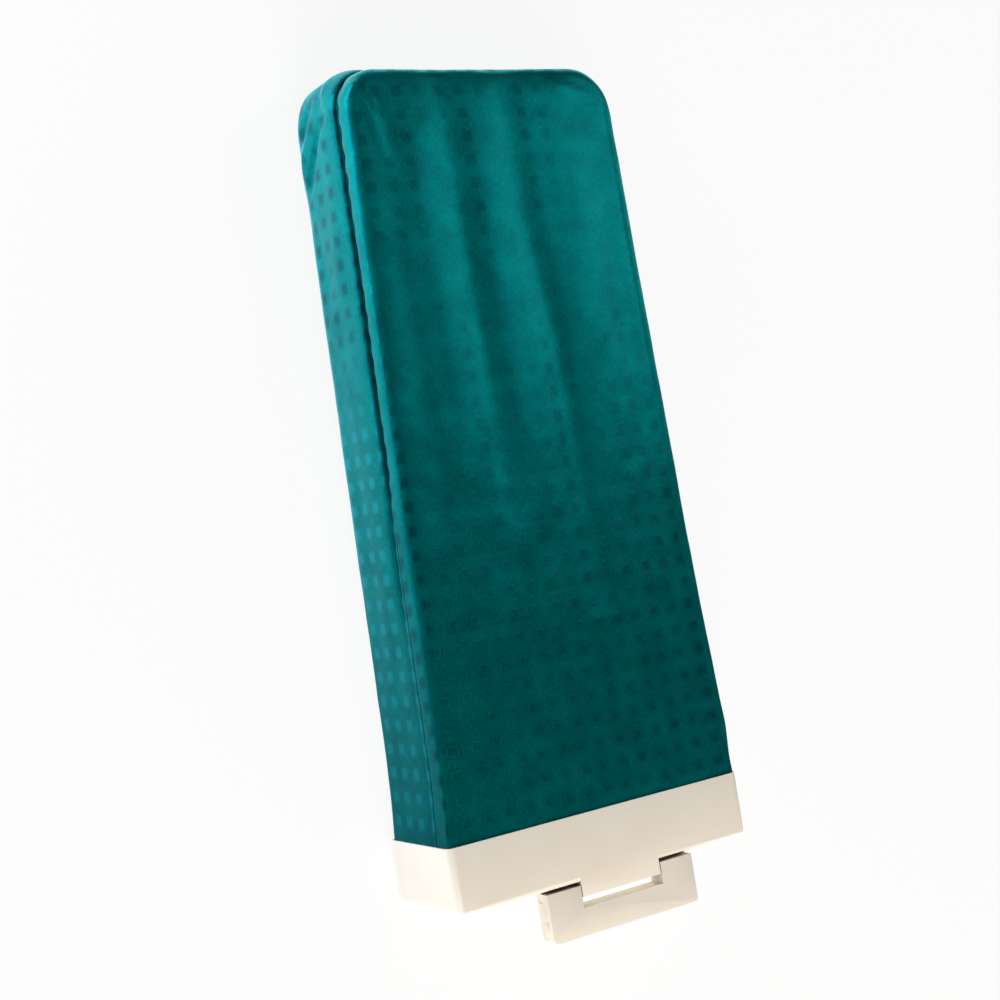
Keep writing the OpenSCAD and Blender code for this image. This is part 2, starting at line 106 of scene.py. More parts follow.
def object_coordinates(material):
    return add(material, "TexCoord").outputs["Object"]


def finished(mesh, material):
    """Gives a mesh one material in place of those it has."""
    mesh.materials.clear()
    mesh.materials.append(material)


def dressed(node, material):
    """Gives a CAD node, whose shape is right, its finish."""
    finished(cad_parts[node].data, material)


def new_object(name, data):
    """A new object in the scene."""
    piece = bpy.data.objects.new(name, data)
    bpy.context.scene.collection.objects.link(piece)
    return piece


def shade_smooth(mesh, smooth=True):
    mesh.polygons.foreach_set("use_smooth", [smooth] * len(mesh.polygons))


def lengths_along(path):
    """The length of a path up to each of its points."""
    return np.concatenate([[0], np.cumsum(np.linalg.norm(np.diff(path, axis=0), axis=1))])


def smoothstep(low, high, value):
    share = np.clip((value - low) / (high - low), 0, 1)
    return share * share * (3 - 2 * share)


def coordinates(mesh):
    return np.array([v.co for v in mesh.vertices])


def move_to(mesh, points):
    mesh.vertices.foreach_set("co", points.astype(np.float32).ravel())
    mesh.update()


# ---- Steel body -------------------------------------------------------------
# A pan pressed from galvanised sheet, with a lowered panel that the board rests on and
# slots that let steam out; a hat-section channel and bent braces stiffen it inside.
def galvanised_steel():
    """Galvanised sheet steel: zinc in flat crystals 6 to 10 mm wide, each a slightly
    different grey and gloss, with the faint lines of rolling."""
    material, shader = new_material("galvanised_steel", Metallic=1.0, Roughness=0.42)
    at = object_coordinates(material)
    zinc_crystals = {"Scale": 1 / (8 * MM), "Randomness": 1.0}
    crystal = add(material, "TexVoronoi", {"Vector": at}, inputs=zinc_crystals)
    grain = add(material, "TexNoise", {"Vector": at}, inputs={"Scale": 1 / (1.2 * MM), "Detail": 4.0})
    both = {6: crystal.outputs["Color"], 7: grain.outputs["Color"]}
    tone = add(material, "Mix", both, data_type="RGBA", inputs={"Factor": 0.35})
    grey = add(material, "RGBToBW", {"Color": tone.outputs[2]}).outputs["Val"]
    on(material, shader.inputs["Base Color"], coloured(material, grey, "#8E9294", "#C6C9C9", 0.2, 0.8))
    rough = add(material, "MapRange", {"Value": grey}, inputs={"To Min": 0.3, "To Max": 0.55})
    on(material, shader.inputs["Roughness"], rough.outputs["Result"])
    bumped(material, shader, grain.outputs["Fac"], 0.02)
    return material


steel = galvanised_steel()
for node in ("bottom_pan", "centre_channel", "middle_braces", "nose_braces", "base_bulkhead"):
    dressed(node, steel)

# ---- Ironing plate ----------------------------------------------------------
# A perforated steel plate on the pan's flange, held by countersunk steel rivets, with
# brass rivet nuts in the bulkhead behind it for the cap's screws.
dressed("ironing_plate", steel)


def brushed_steel(name, light, dark):
    """Turned metal: bright, with fine turning marks about 0.3 mm apart."""
    material, shader = new_material(name, Metallic=1.0, Roughness=0.3)
    turning = {"Scale": 1 / (0.6 * MM), "Detail": 3.0}
    at = object_coordinates(material)
    marks = add(material, "TexNoise", {"Vector": at}, inputs=turning).outputs["Fac"]
    on(material, shader.inputs["Base Color"], coloured(material, marks, dark, light, 0.3, 0.7))
    rough = add(material, "MapRange", {"Value": marks}, inputs={"To Min": 0.22, "To Max": 0.42})
    on(material, shader.inputs["Roughness"], rough.outputs["Result"])
    bumped(material, shader, marks, 0.01)
    return material


zinc = brushed_steel("zinc_plated_steel", "#D2D3D0", "#A9ABAA")
brass = brushed_steel("turned_brass", "#D9B56A", "#B98F45")
dressed("plate_rivets", zinc)
dressed("rivet_nuts", brass)

# ---- Cloth layers: shape ----------------------------------------------------
# Every soft layer lies over the plate and rolls over the board's edge. Each is laid out
# as a flat grid of cloth and pulled over the edge, ring by ring, to its own depth.
board_l, base_w, nose_w, nose_r, spread_l = 324.0, 146.0, 131.0, 17.0, 36.0
cap_w, cover_set, crown, turn_r = 151.0, 1.0, 0.9, 3.0
roll_r, nose_roll, cap_roll = 5.0, 4.6, 1.6  # the roll over the sides, over the nose, at the cap
roll_end = 10.4  # the depth below the face at which a tightened roll is the wall again
tuck_y = -5.6  # the cover runs on under the cap's rim to here
face_z, seam_z = 52.5, 42.0
inner_inset = 24.0  # the face's edge, from which the cloth is pulled over the roll
columns, rows = 40, 96  # quads about 3 mm wide
face_square, band_square = (9.95, 10.2), (10.6, 10.3)  # the weave's squares, across and along


def half_w(y):
    """Half the width over the cover at y from the rim."""
    spread = np.clip(1 - np.maximum(y, 0) / spread_l, 0, 1) ** 2
    taper = base_w - (base_w - nose_w) * np.maximum(y, 0) / board_l
    return taper / 2 + (cap_w / 2 - cover_set - base_w / 2) * spread


def edge_path(inset):
    """The right half of the outline at an inset: rim to the middle of the nose's corner,
    and from there to the middle of the nose, as two lists of points."""
    r = max(nose_r - inset, 3.0)
    cy = board_l - inset - r
    cx = half_w(cy) - inset - r
    y = np.linspace(tuck_y, cy, 80)
    arc = np.radians(np.linspace(0, 90, 41))
    corner = np.stack([cx + r * np.cos(arc), cy + r * np.sin(arc)], 1)
    side = np.concatenate([np.stack([half_w(y) - inset, y], 1), corner[1:21]])
    nose = np.concatenate([corner[20:], [[0.0, cy + r]]])
    return side, nose


def along(path, shares):
    """Points at shares of a path's length."""
    steps = lengths_along(path)
    at = np.asarray(shares) * steps[-1]
    return np.stack([np.interp(at, steps, path[:, k]) for k in (0, 1)], 1)


def edge_points(inset):
    """For one inset, the places of the grid's right edge, nose edge and left edge."""
    side, nose = edge_path(inset)
    right = along(side, np.linspace(0, 1, rows + 1))
    whole_nose = np.concatenate([nose, (nose * [-1, 1])[::-1][1:]])
    across = along(whole_nose, np.linspace(1, 0, columns + 1))
    return right, across, right * [-1, 1]


def whole_outline(inset, count):
    """Points along the outline at an inset, from the right rim round the nose to the left."""
    side, nose = edge_path(inset)
    right = np.concatenate([side, nose[1:]])
    return along(np.concatenate([right, (right * [-1, 1])[::-1][1:]]), np.linspace(0, 1, count + 1))


def from_outline(points, count=900):
    """How far along the outline each point is, in mm from the right rim, how far inside it,
    and which way is out."""
    line = whole_outline(0.0, count)
    step = np.linalg.norm(np.diff(line, axis=0), axis=1).sum() / count
    heading = np.gradient(line, axis=0) / step
    batches = np.array_split(points[:, :2], 60)  # a few at a time, for the memory's sake
    near = np.concatenate([((some[:, None] - line[None]) ** 2).sum(2).argmin(1) for some in batches])
    heading = heading[near] / np.linalg.norm(heading[near], axis=1)[:, None]
    out = np.stack([heading[:, 1], -heading[:, 0]], 1)
    offset = points[:, :2] - line[near]
    return near * step + (offset * heading).sum(1), -(offset * out).sum(1), out


def refined(mesh):
    """The mesh subdivided once, with its UV map."""
    piece = new_object("refining", mesh)
    finer = piece.modifiers.new("finer", "SUBSURF")
    finer.levels = finer.render_levels = 1
    result = bpy.data.meshes.new_from_object(piece.evaluated_get(bpy.context.evaluated_depsgraph_get()))
    result.name = mesh.name
    bpy.data.objects.remove(piece)
    return result


def drawn_tight(points, top_z, outer):
    """Round the nose, and at the cap, whose rim is square, the roll over the edge tightens."""
    y = points[:, 1]
    far, inset, out = from_outline(points)
    inset, drop = inset - outer, top_z - points[:, 2]
    radius, low = roll_r - outer, roll_end - outer
    round_nose = smoothstep(280, 308, y)
    tight = cap_roll + (radius - cap_roll) * smoothstep(0, 110, y)
    tight = tight * (1 - round_nose) + (nose_roll - outer) * round_nose
    rolling = (inset < radius + 0.01) & (drop < radius + 0.01)
    angle = np.arctan2(np.maximum(radius - inset, 0), np.maximum(radius - drop, 0))
    wall = (inset < 0.05) & (drop > radius) & (drop < low)
    new_inset = np.where(rolling, tight * (1 - np.sin(angle)), inset)
    new_drop = np.where(rolling, tight * (1 - np.cos(angle)), drop)
    new_drop = np.where(wall, tight + (drop - radius) / (low - radius) * (low - tight), new_drop)
    moved = points.copy()
    moved[:, :2] += out * (inset - new_inset)[:, None]
    moved[:, 2] = top_z - new_drop
    keep = ~(rolling | wall) | (y < tuck_y + 0.001) & (np.abs(points[:, 0]) < 60)
    moved[keep] = points[keep]
    return moved


# Folds of the cover over its padding: half width, height and line of each, in mm.
face_folds = [
    (9, 1.0, [(-38, 330), (-37, 250), (-36, 195), (-35, 130)]),
    (7, -1.5, [(-22, 332), (-21, 249), (-20.5, 199), (-20, 135)]),
    (8, 0.9, [(-6, 328), (-6, 250), (-5, 200), (-5, 130)]),
    (7, -1.7, [(10, 330), (11, 249), (16, 205), (17, 165), (15, 90)]),
    (10, 1.0, [(36, 312), (38, 240), (38, 130)]),
    (8, -0.6, [(55, 300), (57, 220), (56, 140)]),
    (5, 0.5, [(-33, 100), (-33, -10)]),
    (6, -0.5, [(-52, 260), (-54, 180), (-55, 100)]),
    (1.8, 0.8, [(-66, 324), (-60, 316), (-55.5, 303), (-52.5, 285)]),
    (2.4, -0.7, [(-60, 326), (-54, 316), (-49, 302), (-47, 284)]),
    (1.8, 0.5, [(36, 317), (44, 314), (56, 310)]),
]
side_folds = [
    (2.2, -1.9, [(280, 9.0), (292, 16.0), (303, 24.5), (310, 33.0)]),
    (2.6, 1.0, [(286, 4.0), (298, 11.0), (309, 20.0)]),
    (2.2, -1.6, [(303, 8.0), (311, 15.5), (318, 20.0)]),
    (2.0, -1.8, [(308, 32.0), (317, 25.5), (330, 16.0)]),
    (2.2, 0.9, [(311, 37.0), (320, 31.0), (332, 23.0)]),
    (5.0, -0.8, [(225, 22.0), (250, 14.0), (276, 6.0)]),
    (6.0, 0.6, [(210, 12.0), (245, 27.0), (280, 32.0)]),
    (7.0, -0.5, [(120, 18.0), (165, 14.0), (210, 6.0)]),
    (6.0, 0.4, [(40, 10.0), (100, 26.0), (150, 30.0)]),
]


def folds_at(places, folds):
    """The height of the folds at each place, run out to nothing at their ends."""
    height = np.zeros(len(places))
    for half, tall, line in folds:
        line = np.array(line, float)
        steps = lengths_along(line)
        nearest, at = np.full(len(places), 1e9), np.zeros(len(places))
        for k, (a, b) in enumerate(zip(line, line[1:])):
            share = np.clip((places - a) @ (b - a) / ((b - a) @ (b - a)), 0, 1)
            far = np.linalg.norm(places - a - share[:, None] * (b - a), axis=1)
            here = (steps[k] + share * (steps[k + 1] - steps[k])) / steps[-1]
            at = np.where(far < nearest, here, at)
            nearest = np.minimum(far, nearest)
        run_out = np.sin(np.pi * np.clip(at, 0.04, 0.96)) ** 0.6
        height += tall * run_out * np.exp(-((nearest / half) ** 2))
    return height


# How the cover is worked at its seam and below it, in mm.
seam_depth, pucker_depth, pucker_pitch = 1.4, 0.5, 9.6
band_slack, right_fullness, unevenness = 2.0, 1.8, 0.22
corner_at, corner_slack, corner_reach = (326, 335), (2.6, 5.4), (15, 18)  # right, left, from each rim
lowest = 0.6  # the cloth doesn't sink below this


def worked(mesh):
    """Works the folds, the drawn-in seam with its puckers and the slack below it into a layer, and
    stores the seam's valley as a mask for painted shade.
    """
    points = coordinates(mesh)
    normals = np.array([n.vector for n in mesh.vertex_normals])
    x, y, z = points.T
    on_face = smoothstep(0.2, 0.8, normals[:, 2])
    on_left = smoothstep(0.4, 0.8, -normals[:, 0])
    rise = on_face * folds_at(points[:, :2], face_folds)
    rise += on_left * folds_at(points[:, 1:], side_folds)
    far, _, _ = from_outline(points)
    upright = smoothstep(0.9, 0.6, np.abs(normals[:, 2]))
    on_wall = upright * (z > 8)
    valley = z - (seam_z - 3.0 * smoothstep(165, 115, y))
    deep = 0.25 + 0.75 * smoothstep(70, 125, y)
    gather = 0.5 + 0.5 * np.sin(2 * np.pi * far / pucker_pitch + 0.8 * np.sin(far / 31))
    uneven = 0.7 + 0.3 * np.sin(far / 13.7 + 2 * np.sin(far / 47))
    rise -= on_wall * deep * seam_depth * np.exp(-((valley / 1.7) ** 2))
    rise -= on_wall * deep * pucker_depth * gather * uneven * np.exp(-(((valley - 1.2) / 3.6) ** 2))
    slack = band_slack * smoothstep(50, 170, y) * smoothstep(318, 296, y)
    for tall, rim, at, reach in zip(
        corner_slack, (far - far.min(), far.max() - far), corner_at, corner_reach
    ):
        slack = slack + tall * np.exp(-(((rim - at) / reach) ** 2))
    slack *= upright * smoothstep(52, 28, z) * smoothstep(1, 9, z)
    on_right = smoothstep(0.25, 0.8, normals[:, 0])
    rise += right_fullness * on_right * smoothstep(2, 25, y) * smoothstep(322, 300, y)
    broad, small = (np.array([noise.noise(Vector(p / wide)) for p in points]) for wide in (26.0, 9.0))
    rise += unevenness * (broad + 0.35 * small) * np.clip(on_face + on_left, 0, 1)
    moved = points + rise[:, None] * normals + slack[:, None] * normals * [1, 1, 0]
    moved[:, 2] = np.maximum(moved[:, 2], np.minimum(points[:, 2], lowest))
    move_to(mesh, moved)
    # Painted shade: the seam's valley is stored as a mask that darkens the satin's colour there.
    shade = mesh.attributes.new("seam", "FLOAT", "POINT")
    painted_seam_shade = on_wall * deep * np.exp(-((valley / 1.2) ** 2))
    shade.data.foreach_set("value", painted_seam_shade.astype(np.float32))


def flat_grid():
    """The ironing face inside its edge, as grid[column][row], in plan."""
    right, nose, left = edge_points(inner_inset)
    u = np.linspace(0, 1, columns + 1)[:, None, None]
    v = np.linspace(0, 1, rows + 1)[None, :, None]
    rim = left[0] + (right[0] - left[0]) * u
    corners = (
        left[0] * (1 - u) * (1 - v) + right[0] * u * (1 - v) + left[-1] * (1 - u) * v + right[-1] * u * v
    )
    return left[None] * (1 - u) + right[None] * u + rim * (1 - v) + nose[:, None] * v - corners


def crowned(x, y, z):
    """Height of a layer's face over the flat: it rises towards the middle."""
    side = np.clip((half_w(y) - np.abs(x)) / 44, 0, 1)
    end = np.clip((board_l - y) / 44, 0, 1)
    rise = np.sin(side * math.pi / 2) * np.sin(end * math.pi / 2)
    return z + crown * rise * (0.1 + 0.9 * np.clip(y / 80, 0, 1))


def laid_over(name, top_z, rings):
    """A layer laid over the board: the face at top_z, then rings of (inset, level, length of
    cloth from the face's edge) outwards and down. Its UV map counts the weave's squares."""
    mesh = bpy.data.meshes.new(name)
    bm = bmesh.new()
    bmesh.ops.create_grid(bm, x_segments=columns, y_segments=rows, size=0.5)
    uv = bm.loops.layers.uv.new("cloth")
    plan = flat_grid()
    cloth = {}
    place = {}
    for v in bm.verts:
        i, j = round((v.co.x + 0.5) * columns), round((v.co.y + 0.5) * rows)
        x, y = plan[i][j]
        v.co = (x, y, float(crowned(x, y, top_z)))
        cloth[v] = (x, y)
        if j == rows or i not in (0, columns):
            place[v] = ("nose", i)
        else:
            place[v] = ("left" if i == 0 else "right", j)
    border = [
        e
        for e in bm.edges
        if e.is_boundary and not all(abs(v.co.y - tuck_y) < 1e-3 for v in e.verts)
    ]
    for inset, level, length in rings:
        worn = dict(zip(("right", "nose", "left"), edge_points(inset)))
        flat = dict(zip(("right", "nose", "left"), edge_points(inner_inset - length)))
        grown = bmesh.ops.extrude_edge_only(bm, edges=border)["geom"]
        new_verts = [g for g in grown if isinstance(g, bmesh.types.BMVert)]
        border = [g for g in grown if isinstance(g, bmesh.types.BMEdge) and g.is_boundary]
        fresh = set(new_verts)
        for v in new_verts:
            old = next(e.other_vert(v) for e in v.link_edges if e.other_vert(v) not in fresh)
            place[v] = edge, k = place[old]
            x, y = worn[edge][k]
            v.co = (x, y, float(crowned(x, y, level)) if inset > roll_r else level)
            cloth[v] = tuple(flat[edge][k])
        border = [e for e in border if all(v in fresh for v in e.verts)]
    for face in bm.faces:
        for loop in face.loops:
            x, y = cloth[loop.vert]
            lean = 0.027 * (y - 78)
            wave = 0.9 * math.sin(x / 23) * math.exp(-max(y, 0) / 70)
            loop[uv].uv = ((x - 4.1 + lean) / face_square[0], (y - 7.5 + wave) / face_square[1])
    bmesh.ops.recalc_face_normals(bm, faces=bm.faces)
    if sum(f.normal.z for f in bm.faces) < 0:
        bmesh.ops.reverse_faces(bm, faces=bm.faces)
    bm.to_mesh(mesh)
    bm.free()
    shade_smooth(mesh)
    return mesh


def rolled_rings(top_z, outer, radius, bottom_z):
    """Rings from the face's edge over a roll to an outer inset and down to a level."""
    rings = [(at, top_z, inner_inset - at) for at in (20, 16, 12, 8) if at > outer + radius + 1]
    run = inner_inset - outer - radius
    for angle in range(0, 91, 15):
        a = math.radians(angle)
        inset, level = outer + radius - radius * math.sin(a), top_z - radius + radius * math.cos(a)
        rings.append((inset, level, run + radius * a))
    run += radius * math.pi / 2
    drop = top_z - radius - bottom_z
    steps = max(1, round(drop / 2.5))
    for k in range(1, steps + 1):
        rings.append((outer, top_z - radius - drop * k / steps, run + drop * k / steps))
    return rings


def wrapped_round(name, rings, count=340, closed=False):
    """A strip wrapped round the outline: rings of (inset, level, cloth down from the first).
    Its UV map counts the weave's squares down the strip and along it."""
    mesh = bpy.data.meshes.new(name)
    bm = bmesh.new()
    bmesh.ops.create_grid(bm, x_segments=count, y_segments=len(rings) - 1, size=0.5)
    uv = bm.loops.layers.uv.new("cloth")
    lines = [whole_outline(inset, count) for inset, _, _ in rings]
    length = np.linalg.norm(np.diff(whole_outline(0.0, count), axis=0), axis=1).sum()
    cloth = {}
    for v in bm.verts:
        i, k = round((v.co.x + 0.5) * count), round((v.co.y + 0.5) * (len(rings) - 1))
        v.co = (*lines[k][i], rings[k][1])
        along_left = length * (1 - i / count) + tuck_y
        cloth[v] = (-(rings[k][2] - 22) / band_square[0], (8.75 - along_left) / band_square[1])
    for face in bm.faces:
        for loop in face.loops:
            loop[uv].uv = cloth[loop.vert]
    if closed:
        bmesh.ops.remove_doubles(bm, verts=bm.verts, dist=1e-4)
        bmesh.ops.holes_fill(bm, edges=bm.edges, sides=0)
        bmesh.ops.recalc_face_normals(bm, faces=bm.faces)
    bm.to_mesh(mesh)
    bm.free()
    shade_smooth(mesh, not closed)
    return mesh


def placed(mesh, name, material, body="board"):
    """Turns a mesh drawn in mm from the rim into a piece in the board's own frame."""
    mesh.transform(Matrix.Translation((0, rim_y, 0)) @ Matrix.Scale(MM, 4))
    piece = new_object(name, mesh)
    mesh.materials.append(material)
    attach(piece, body)
    return piece


# ---- Foam -------------------------------------------------------------------
# Open-cell polyurethane foam, cut from pale yellow block: a slab on the plate and strips
# glued along the pan's walls.
def cut_foam():
    """Polyurethane foam: matt, with cells about 1 mm wide that yellow with age."""
    material, shader = new_material("polyurethane_foam", Roughness=0.95)
    at = object_coordinates(material)
    cells = add(material, "TexVoronoi", {"Vector": at}, inputs={"Scale": 1 / (1.2 * MM)})
    age = add(material, "TexNoise", {"Vector": at}, inputs={"Scale": 1 / (25 * MM)})
    yellow = coloured(material, age.outputs["Fac"], "#D9C785", "#EADDA8", 0.3, 0.7)
    on(material, shader.inputs["Base Color"], yellow)
    bumped(material, shader, cells.outputs["Distance"], 0.4)
    return material


def settled(piece, frames=20):
    """Where a piece's vertices are after some frames of its cloth simulation."""
    for f in range(1, frames + 1):
        bpy.context.scene.frame_set(f)
    points = coordinates(piece.evaluated_get(bpy.context.evaluated_depsgraph_get()).data)
    bpy.context.scene.frame_set(1)
    return points


def swollen(mesh, voxel_mm, pressure, most_mm):
    """Lets a closed form swell under inner pressure, by most_mm at the most."""
    piece = new_object("swelling", mesh)
    remesh = piece.modifiers.new("voxels", "REMESH")
    remesh.mode = "VOXEL"
    remesh.voxel_size = voxel_mm * MM
    remesh.use_smooth_shade = True
    depsgraph = bpy.context.evaluated_depsgraph_get()
    even = bpy.data.meshes.new_from_object(piece.evaluated_get(depsgraph))
    piece.modifiers.clear()
    piece.data = even
    start = coordinates(even)
    cloth = piece.modifiers.new("cloth", "CLOTH")
    cloth.settings.use_pressure = True
    cloth.settings.uniform_pressure_force = pressure
    cloth.settings.effector_weights.gravity = 0
    travel = settled(piece) - start
    piece.modifiers.clear()
    size = np.linalg.norm(travel, axis=1)[:, None]
    move_to(even, start + travel * np.minimum(1, most_mm * MM / np.maximum(size, 1e-9)))
    bpy.data.objects.remove(piece)
    return even


foam_finish = cut_foam()
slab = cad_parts["foam_pad"].data.copy()
bm = bmesh.new()
bm.from_mesh(slab)
bmesh.ops.remove_doubles(bm, verts=bm.verts, dist=1e-6)
low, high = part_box("foam_pad")
middle = (low + high) / 2
smaller = [1 - less * MM / (high - low)[k] for k, less in enumerate((3, 3, 1.4))]
bmesh.ops.scale(bm, vec=smaller, verts=bm.verts, space=Matrix.Translation(-middle))
bm.to_mesh(slab)
bm.free()
slab = swollen(slab, 4.0, 4.0, 0.8)
slab.name = "foam_slab"
finished(slab, foam_finish)
foam = new_object("foam_slab", slab)
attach(foam, "board")
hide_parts("foam_pad")

# ---- Felt blanket -----------------------------------------------------------
# Needled wool felt, laid over the foam and rolled over the board's edge: it evens out the
# holes of the plate and takes up the steam.
def needled_felt():
    """Needled wool felt: grey-white fibres matted in every direction."""
    material, shader = new_material("needled_felt", Roughness=0.95, Sheen_Weight=0.3)
    at = object_coordinates(material)
    matted = {"Scale": 1 / (1.5 * MM), "Detail": 6.0}
    fibres = add(material, "TexNoise", {"Vector": at}, inputs=matted).outputs["Fac"]
    grey_white = coloured(material, fibres, "#B9B5AC", "#E2DFD7", 0.3, 0.7)
    on(material, shader.inputs["Base Color"], grey_white)
    bumped(material, shader, fibres, 0.3)
    return material


felt_z, felt_in, felt_t = 51.1, 1.4, 2.5
felt_mesh = laid_over("felt_blanket", felt_z, rolled_rings(felt_z, felt_in, roll_r - felt_in, 4.4))
move_to(felt_mesh, drawn_tight(coordinates(felt_mesh), felt_z, felt_in))
worked(felt_mesh)
felt = placed(felt_mesh, "felt_blanket", needled_felt())
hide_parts("felt_wrap")
blanket = felt.modifiers.new("thickness", "SOLIDIFY")
blanket.thickness = (felt_t - 0.1) * MM
blanket.offset = -1

# ---- Cover: top panel -------------------------------------------------------
# Teal polyester satin with a woven square every 10 mm. The ground's threads float along
# the board and the squares' across it, so each shines in its own direction. On the band the
# squares are painted from darker than the ground at the nose to lighter at the base, and on
# the face the squares are painted fading towards the nose: both are painted sheen.
square_share, square_soft = 0.46, 0.13  # a square's width and its edge's, in steps of the weave


def satin(name, painted_sheen_flip=False):
    """Teal satin with woven squares, painted lighter towards the base if asked: a painted sheen."""
    lustre = {"Metallic": 0.65, "Roughness": 0.38, "Anisotropic": 0.7}
    material, shader = new_material(name, **lustre, Sheen_Weight=0.4, Sheen_Roughness=0.3)
    shader.inputs["Specular IOR Level"].default_value = 0.1
    shader.inputs["Sheen Tint"].default_value = linear("#5CC6DC")
    shader.inputs["Specular Tint"].default_value = linear("#33C4C0")
    cloth = add(material, "UVMap", uv_map="cloth").outputs["UV"]
    tangent = add(material, "Tangent", direction_type="UV_MAP", uv_map="cloth").outputs[0]
    on(material, shader.inputs["Tangent"], tangent)
    axes = add(material, "SeparateXYZ", {"Vector": cloth})
    edge = {"From Min": square_share / 2 - square_soft, "From Max": square_share / 2 + square_soft}
    soft = {**edge, "To Min": 1.0, "To Max": 0.0}
    inside = []
    for axis in ("X", "Y"):
        middle = add(material, "Math", {0: axes.outputs[axis]}, operation="ADD", inputs={1: 0.5})
        part = add(material, "Math", {0: middle.outputs[0]}, operation="FRACT")
        off = add(material, "Math", {0: part.outputs[0]}, operation="SUBTRACT", inputs={1: 0.5})
        far = add(material, "Math", {0: off.outputs[0]}, operation="ABSOLUTE")
        within = {"Value": far.outputs[0]}
        near = add(material, "MapRange", within, interpolation_type="SMOOTHSTEP", inputs=soft)
        inside.append(near.outputs["Result"])
    woven = add(material, "Math", {0: inside[0], 1: inside[1]}, operation="MULTIPLY").outputs[0]
    # The squares are painted fading unevenly, from the 14th row of the weave to the 26th: painted sheen,
    # which washes them out towards the nose.
    worn = add(material, "TexNoise", {"Vector": cloth}, inputs={"Scale": 0.12, "Detail": 3.0})
    uneven = {0: worn.outputs["Fac"], 2: axes.outputs["Y"]}
    where = add(material, "Math", uneven, operation="MULTIPLY_ADD", inputs={1: 8.0})
    painted_sheen_fade = {"From Min": 14.0, "From Max": 26.0, "To Min": 0.9, "To Max": 0.08}
    kept = add(material, "MapRange", {"Value": where.outputs[0]}, inputs=painted_sheen_fade)
    faded = {0: woven, 1: kept.outputs["Result"]}
    square = add(material, "Math", faded, operation="MULTIPLY").outputs[0]
    mottle = add(material, "TexNoise", {"Vector": cloth}, inputs={"Scale": 0.7, "Detail": 5.0})
    stretched = add(material, "Mapping", {"Vector": cloth}, inputs={"Scale": (14.0, 5.0, 1.0)})
    along_threads = {"Vector": stretched.outputs["Vector"]}
    floats = add(material, "TexNoise", along_threads, inputs={"Scale": 1.0, "Detail": 3.0})
    both = add(material, "Math", {0: mottle.outputs["Fac"], 1: floats.outputs["Fac"]}, operation="ADD")
    shade = add(material, "Math", {0: both.outputs[0]}, operation="MULTIPLY", inputs={1: 0.5}).outputs[0]
    ground = coloured(material, shade, "#005B5E", "#007474", 0.36, 0.64)
    figure = coloured(material, shade, "#003B41", "#004F55", 0.36, 0.64)
    # Painted sheen: the squares are painted lighter (#0A777F) towards the base, by the world position
    # along the board.
    if painted_sheen_flip:
        position = add(material, "NewGeometry").outputs["Position"]
        place = add(material, "SeparateXYZ", {"Vector": position})
        towards_base = {"From Min": 0.085, "From Max": 0.03}
        light = add(material, "MapRange", {"Value": place.outputs["Y"]}, inputs=towards_base)
        painted_sheen_inputs = {0: light.outputs["Result"], 6: figure}
        painted_sheen_colour = {7: linear("#0A777F")}
        figure = add(material, "Mix", painted_sheen_inputs, data_type="RGBA", inputs=painted_sheen_colour).outputs[2]
    colour = add(material, "Mix", {0: square, 6: ground, 7: figure}, data_type="RGBA")
    # Painted shade: the colour is darkened towards #003336 along the seam's valley.
    seam = add(material, "Attribute", attribute_name="seam").outputs["Fac"]
    shaded = {0: seam, 6: colour.outputs[2]}
    painted_seam_shade_mix = add(material, "Mix", shaded, data_type="RGBA", inputs={7: linear("#003336")})
    on(material, shader.inputs["Base Color"], painted_seam_shade_mix.outputs[2])
    turned = {"From Min": 0.48, "From Max": 0.52, "To Min": 0.0, "To Max": 0.1}
    turn = add(material, "MapRange", {"Value": woven}, inputs=turned)
    on(material, shader.inputs["Anisotropic Rotation"], turn.outputs["Result"])
    relief = add(material, "Math", {0: square, 1: floats.outputs["Fac"]}, operation="ADD")
    bumped(material, shader, relief.outputs[0], 0.06)
    return material


def puffed(mesh, pressure, most_mm):
    """Lets a sewn panel puff over its padding: it is held along its seam, cut 1% too wide,
    and settles under light pressure, its travel scaled down to most_mm."""
    sewn_down = sorted({k for key in boundary_of(mesh) for k in key})
    mesh.transform(Matrix.Scale(MM, 4))
    piece = new_object("puffing", mesh)
    held = piece.vertex_groups.new(name="held")
    held.add(sewn_down, 1.0, "REPLACE")
    start = coordinates(mesh)
    cloth = piece.modifiers.new("cloth", "CLOTH")
    cloth.settings.vertex_group_mass = "held"
    cloth.settings.use_pressure = True
    cloth.settings.uniform_pressure_force = pressure
    cloth.settings.shrink_min = -0.01
    cloth.settings.effector_weights.gravity = 0
    travel = settled(piece) - start
    piece.modifiers.clear()
    piece.vertex_groups.clear()
    bpy.data.objects.remove(piece)
    far = np.linalg.norm(travel, axis=1).max()
    move_to(mesh, start + travel * min(1, most_mm * MM / max(far, 1e-9)))
    mesh.transform(Matrix.Scale(1 / MM, 4))


def boundary_of(mesh):
    """The edges with one face, as pairs of vertices."""
    uses = {}
    for polygon in mesh.polygons:
        for key in polygon.edge_keys:
            uses[key] = uses.get(key, 0) + 1
    return [key for key, count in uses.items() if count == 1]


